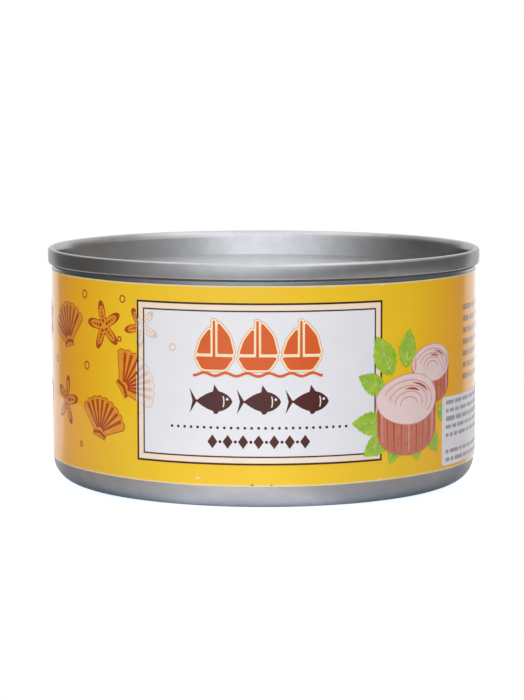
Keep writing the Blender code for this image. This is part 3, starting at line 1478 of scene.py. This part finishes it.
@dataclass(frozen=True)
class FactsTable:
    """A ruled box with plain bars in its rows, on the back of the label."""

    wrap: Wrap
    left: float = 95.5 * MM
    bottom: float = 9.5 * MM
    width: float = 17.0 * MM
    height: float = 27.5 * MM
    rows: int = 8
    line: float = 0.24 * MM
    margin: float = 1.0 * MM
    bar: float = 1.0 * MM
    name_lengths: Point = (5.0, 9.5)
    value_lengths: Point = (2.0, 3.4)
    seed: int = 11

    def build(self) -> None:
        """Make the box and its bars."""
        sheet = PrintSheet("facts_table", self.wrap)
        pitch = self.height / self.rows
        for row in range(self.rows + 1):
            rule = rectangle(self.left, self.bottom + row * pitch - self.line / 2, self.width, self.line)
            sheet.cut_out(rule, Ink.BROWN, 3 * INK_STEP)
        for x in (self.left, self.left + self.width):
            rule = rectangle(x - self.line / 2, self.bottom, self.line, self.height)
            sheet.cut_out(rule, Ink.BROWN, 3.3 * INK_STEP)
        draw = random.Random(self.seed)
        for row in range(self.rows):
            middle = self.bottom + (row + 0.5) * pitch
            name = draw.uniform(*self.name_lengths) * MM
            value = draw.uniform(*self.value_lengths) * MM
            value_left = self.left + self.width - self.margin - value
            for left, length in ((self.left + self.margin, name), (value_left, value)):
                dash = PlainLines.dash(left, middle, length, self.bar)
                sheet.cut_out(dash, Ink.TEXT_BAR, 2 * INK_STEP)
        sheet.finish()


@dataclass(frozen=True)
class SideSticker:
    """The small white sticker on the label, with rows of plain grey bars."""

    wrap: Wrap
    start: float
    end: float
    bottom: float
    top: float
    thickness: float = 0.10 * MM
    corner: float = 0.7 * MM

    def build(self) -> None:
        """Make the sticker, which stands for its plain solid, and its bars."""
        height = self.thickness + 2 * INK_STEP
        sheet = PrintSheet("side_label", self.wrap, self.thickness)
        sheet.cut_out(self.outline(), Ink.STICKER, height)
        piece = sheet.finish()
        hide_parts("side_sticker")
        PlainLines(
            self.wrap, "sticker_lines", Ink.STICKER_BAR, left=self.start + 1.3 * MM,
            right=self.end - 1.5 * MM, top=self.top - 0.3 * MM, rows=8, pitch=1.58 * MM, bar=0.72 * MM,
            seed=5, over=height + INK_STEP, film=1.6 * INK_STEP, heavy_rows=(2,), skipped_rows=(5,),
        ).build()

    def outline(self) -> list[Point]:
        """The sticker's outline with its small round corners.

        Returns:
            The outline on the unrolled label.
        """
        points = []
        left, right = self.start + self.corner, self.end - self.corner
        low, high = self.bottom + self.corner, self.top - self.corner
        for quarter, (x, y) in enumerate(((right, high), (left, high), (left, low), (right, low))):
            for k in range(5):
                angle = (quarter + k / 4) * pi / 2
                points.append((x + self.corner * cos(angle), y + self.corner * sin(angle)))
        return points


@dataclass(frozen=True)
class Wear:
    """Small nicks and specks along the label's edges, and one chip on the seam."""

    wrap: Wrap
    seam: Wrap
    marks: tuple[tuple[Spot, Ink], ...] = (
        (Spot(15.5 * MM, 41.72 * MM, 0.2, 0.30 * MM), Ink.SCUFF),
        (Spot(16.3 * MM, 41.70 * MM, -0.3, 0.26 * MM), Ink.SCUFF),
        (Spot(23.3 * MM, 41.55 * MM, 0.1, 0.42 * MM), Ink.SCUFF),
        (Spot(22.8 * MM, 4.98 * MM, 0.4, 0.26 * MM), Ink.SCUFF),
        (Spot(-12.4 * MM, 5.95 * MM, 0.0, 0.34 * MM), Ink.SCUFF),
        (Spot(-2.1 * MM, 4.84 * MM, 0.1, 0.24 * MM), Ink.SPECK),
        (Spot(1.4 * MM, 4.84 * MM, 0.0, 0.20 * MM), Ink.SPECK),
        (Spot(-58.0 * MM, 41.6 * MM, 0.3, 0.34 * MM), Ink.SCUFF),
        (Spot(102.0 * MM, 5.05 * MM, 0.3, 0.34 * MM), Ink.SCUFF),
    )
    chip: Spot = Spot(44.4 * MM, 43.3 * MM, 0.15, 0.34 * MM)
    chip_film: float = 0.08 * MM
    seed: int = 3

    def build(self) -> None:
        """Make the marks on the paper and the chip on the seam."""
        draw = random.Random(self.seed)
        sheet = PrintSheet("edge_marks", self.wrap)
        for spot, ink in self.marks:
            sheet.cut_out(spot.put(self.blot(draw)), ink, 2 * INK_STEP)
        sheet.finish()
        fleck = PrintSheet("seam_chip", self.seam, self.chip_film)
        fleck.cut_out(self.chip.put(self.blot(draw)), Ink.CHIP, INK_STEP)
        fleck.finish()

    @staticmethod
    def blot(draw: random.Random) -> list[Point]:
        """A small uneven shape, wider than it is high.

        Args:
            draw: The source of its uneven reach.

        Returns:
            The outline.
        """
        points = []
        for a in full_turn(11):
            reach = draw.uniform(0.6, 1.15)
            points.append((1.3 * reach * cos(a), 0.5 * reach * sin(a)))
        return points


@dataclass(frozen=True)
class Lobe:
    """A soft light on the surroundings, round one direction.

    A flatness over 1 gives it a flat top and steeper sides.
    """

    azimuth: float
    azimuth_spread: float
    elevation: float
    elevation_spread: float
    strength: float
    colour: Colour = (1.0, 1.0, 1.0)
    flatness: float = 1.0


def lobe(azimuth: Point, elevation: Point, strength: float, **rest: Colour | float) -> Lobe:
    """A lobe from the middle and spread of its azimuth and elevation, both in degrees."""
    return Lobe(*(radians(angle) for angle in (*azimuth, *elevation)), strength, **rest)


@dataclass(frozen=True)
class Studio:
    """The plain soft surroundings: a pale floor, a wide key light, white paper behind and dim flanks.

    The floor's glow is painted light, and its two values are those under the can and beside it. Matt
    colours lose a share of the light and get the fill in its place.
    """

    floor_radius: float = 150.0 * MM
    contact_radii: Point = (40 * MM, 50 * MM)
    key_middle: float = radians(-8)
    key_half: float = radians(27)
    key_radii: Point = (60 * MM, 120 * MM)
    key_fall: Point = (1.0, 0.45)
    rear_reach: Point = (-58 * MM, -40 * MM)
    key_glow: Point = (0.20, 0.25)
    floor_glow: Point = (0.15, 0.08)
    floor_white: float = 0.93
    paper_dim: Colour = (0.38, 0.38, 0.40)
    paper_lit: Colour = (0.76, 0.76, 0.78)
    tint_under: Colour = (0.86, 0.96, 1.14)
    tint_beside: Colour = (0.98, 1.0, 1.03)
    flank: Colour = (0.092, 0.082, 0.072)
    lobes: tuple[Lobe, ...] = (
        lobe((15, 20), (12.5, 8), 0.52, colour=(0.95, 1.0, 1.06)),
        lobe((-14, 35), (1, 25.5), 0.78, colour=(0.95, 1.0, 1.06)),
        lobe((14, 70), (38.5, 26.5), 1.32, colour=(0.97, 1.0, 1.03)),
        lobe((74, 58), (-23.5, 13), 0.46),
        lobe((-62, 30), (-14.5, 22), 0.15, colour=(1.04, 1.0, 0.94)),
        lobe((112, 32), (24, 15), 0.14, colour=(1.15, 1.0, 0.80)),
        lobe((100, 46), (58, 16), 0.34),
        lobe((-100, 46), (58, 16), 0.34),
        lobe((177, 40), (9, 33), 0.50),
        lobe((176, 38.5), (-9, 40), 0.66, flatness=8.0),
        lobe((181, 51), (43, 25), 0.81, flatness=2.0),
    )
    sky: float = 1.03
    sky_from: float = radians(42)
    sky_full: float = radians(70)
    fill: Colour = (0.056, 0.050, 0.040)
    fill_lobe: Lobe = lobe((-26, 78), (15, 45), 0.51, colour=(1.10, 1.0, 0.83))
    fill_loss: float = 0.2

    def build(self) -> None:
        """Make the floor and the surroundings."""
        self.floor()
        world = bpy.data.worlds.new("studio")
        bpy.context.scene.world = world
        world.use_nodes = True
        self.surroundings(NodeBench(world.node_tree), world.node_tree.nodes["Background"])

    def floor(self) -> None:
        """A round of pale paper under the can, with a painted pool of light in front and behind, where the
        key light falls, and a painted glow.
        """
        shape = bmesh.new()
        bmesh.ops.create_circle(shape, cap_ends=True, segments=96, radius=self.floor_radius)
        mesh = bpy.data.meshes.new("floor")
        shape.to_mesh(mesh)
        shape.free()
        material, bench, shader = new_material("floor_paper")
        place = bench.object_place()
        split = bench.feed(bench.add("ShaderNodeSeparateXYZ"), {0: place})
        length = bench.add("ShaderNodeVectorMath", operation="LENGTH")
        radius = bench.feed(length, {0: place}).outputs["Value"]
        # Painted light: a pool of light on the floor in front of the can and behind it.
        turned = bench.maths("ADD", bench.azimuth(place), -self.key_middle)
        off = bench.maths("DIVIDE", turned, self.key_half)
        bell = bench.maths("EXPONENT", bench.maths("MULTIPLY", bench.maths("MULTIPLY", off, off), -1.0))
        front = bench.maths("MULTIPLY", bell, bench.ranged(radius, self.key_radii, self.key_fall))
        back = bench.maths("SUBTRACT", split.outputs["Y"], bench.maths("ABSOLUTE", split.outputs["X"]))
        rear = bench.ranged(back, self.rear_reach, soft=True)
        painted_light = bench.maths("MINIMUM", bench.maths("ADD", front, rear), 1.0)
        open_floor = bench.ranged(radius, self.contact_radii)
        share = bench.ranged(radius, self.contact_radii, self.key_glow)
        dim = bench.ranged(radius, self.contact_radii, self.floor_glow)
        # The floor's glow, painted light, differs under the can and beside it.
        glow = bench.maths("MULTIPLY_ADD", painted_light, share, dim)
        seen = bench.add("ShaderNodeLightPath").outputs["Is Camera Ray"]
        white = bench.maths("MULTIPLY", seen, self.floor_white)
        bench.feed(shader, {
            "Base Color": bench.mixed(painted_light, self.paper_dim, self.paper_lit),
            "Roughness": 0.9,
            "Emission Color": bench.mixed(open_floor, self.tint_under, self.tint_beside),
            "Emission Strength": bench.maths("MAXIMUM", glow, white),
        })
        mesh.materials.append(material)
        sheet = bpy.data.objects.new("floor", mesh)
        bpy.context.scene.collection.objects.link(sheet)

    def surroundings(self, bench: NodeBench, background: bpy.types.Node) -> None:
        """Light the world by direction: white to the camera, and the lobes, flanks and sky to the rest.

        Args:
            bench: The world's nodes.
            background: Its background.
        """
        direction = bench.add("ShaderNodeTexCoord").outputs["Generated"]
        azimuth = bench.azimuth(direction)
        height = bench.feed(bench.add("ShaderNodeSeparateXYZ"), {0: direction}).outputs["Z"]
        elevation = bench.maths("ARCSINE", height)
        risen = bench.ranged(elevation, (self.sky_from, self.sky_full), soft=True)
        sky = bench.maths("MULTIPLY", risen, self.sky)
        light = bench.vector_maths("ADD", {0: self.flank, 1: sky})
        for source in self.lobes:
            strength = self.lobe_strength(bench, azimuth, elevation, source)
            glow = bench.vector_maths("SCALE", {0: source.colour, "Scale": strength})
            light = bench.vector_maths("ADD", {0: light, 1: glow})
        path = bench.add("ShaderNodeLightPath")
        diffuse = path.outputs["Is Diffuse Ray"]
        loss = bench.maths("MULTIPLY_ADD", diffuse, -self.fill_loss, 1.0)
        strength = self.lobe_strength(bench, azimuth, elevation, self.fill_lobe)
        glow = bench.vector_maths("SCALE", {0: self.fill_lobe.colour, "Scale": strength})
        fill = bench.vector_maths("ADD", {0: glow, 1: self.fill})
        fill = bench.vector_maths("SCALE", {0: fill, "Scale": diffuse})
        light = bench.vector_maths("SCALE", {0: light, "Scale": loss})
        light = bench.vector_maths("ADD", {0: light, 1: fill})
        seen = bench.mixed(path.outputs["Is Camera Ray"], light, (1.0, 1.0, 1.0))
        bench.feed(background, {"Color": seen})

    @staticmethod
    def lobe_strength(bench: NodeBench, azimuth: Socket, elevation: Socket, source: Lobe) -> Socket:
        """The strength of a lobe in a direction, which falls off as a bell.

        Args:
            bench: The world's nodes.
            azimuth: The direction's azimuth.
            elevation: Its elevation.
            source: The lobe.

        Returns:
            The strength.
        """
        turned = bench.maths("FLOORED_MODULO", bench.maths("ADD", azimuth, pi - source.azimuth), 2 * pi)
        off = bench.maths("DIVIDE", bench.maths("SUBTRACT", turned, pi), source.azimuth_spread)
        risen = bench.maths("SUBTRACT", elevation, source.elevation)
        rise = bench.maths("DIVIDE", risen, source.elevation_spread)
        squares = bench.maths("MULTIPLY_ADD", off, off, bench.maths("MULTIPLY", rise, rise))
        falling = bench.maths("MULTIPLY", bench.maths("POWER", squares, source.flatness), -1.0)
        return bench.maths("MULTIPLY", bench.maths("EXPONENT", falling), source.strength)


@dataclass(frozen=True)
class Viewpoint:
    """The camera, where the photograph was taken from."""

    distance: float = 536.7 * MM
    height: float = 88.0 * MM
    left: float = 0.33 * MM
    pitch: float = 0.1166
    lens: float = 139.17
    sensor: float = 36.0

    def build(self) -> None:
        """Make the camera and look through it."""
        camera = bpy.data.cameras.new("camera")
        camera.lens = self.lens
        camera.sensor_width = self.sensor
        camera.clip_start = 10 * MM
        holder = bpy.data.objects.new("camera", camera)
        holder.location = (-self.left, -self.distance, self.height)
        holder.rotation_euler = (pi / 2 - self.pitch, 0.0, 0.0)
        bpy.context.scene.collection.objects.link(holder)
        bpy.context.scene.camera = holder
        bpy.context.scene.view_settings.view_transform = "Standard"


def main() -> None:
    """Build the can, its print and its surroundings."""
    logging.basicConfig(level=logging.INFO, format="%(message)s")
    label_low, label_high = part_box("paper_label")
    lid_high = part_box("seamed_lid")[1]
    sticker_low, sticker_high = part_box("side_sticker")
    wrap = Wrap(label_high.x)

    neck_top = lid_high.z - SunkLid.seam_height + TOUCH
    wall_radius = wrap.radius - PaperLabel.paper - TOUCH
    CanShell(wall_radius, neck_top, label_top=label_high.z).build()
    SunkLid(seam_radius=lid_high.x, top=lid_high.z).build()
    PaperLabel(wrap, label_low.z, label_high.z).build()
    panel = FramedPanel(wrap)
    panel.build()
    BoatRow(wrap).build()
    TitleRow(wrap).build()
    ShorePrint(wrap, fade_from=panel.left, fade_to=panel.right).build()
    ServingPrint(wrap).build()
    PlainLines(
        wrap, "side_lines", Ink.TEXT_BAR, left=48.7 * MM, right=86.0 * MM, top=36.6 * MM,
        rows=7, pitch=2.25 * MM, bar=1.05 * MM, seed=8,
    ).build()
    FactsTable(wrap).build()
    sticker_start = acos(-sticker_low.y / sticker_high.x) * wrap.radius
    sticker_end = 91.0 * MM
    SideSticker(wrap, sticker_start, sticker_end, sticker_low.z, sticker_high.z).build()
    Wear(wrap, Wrap(lid_high.x - TOUCH)).build()
    Studio().build()
    Viewpoint().build()


if __name__ == "__main__":
    main()
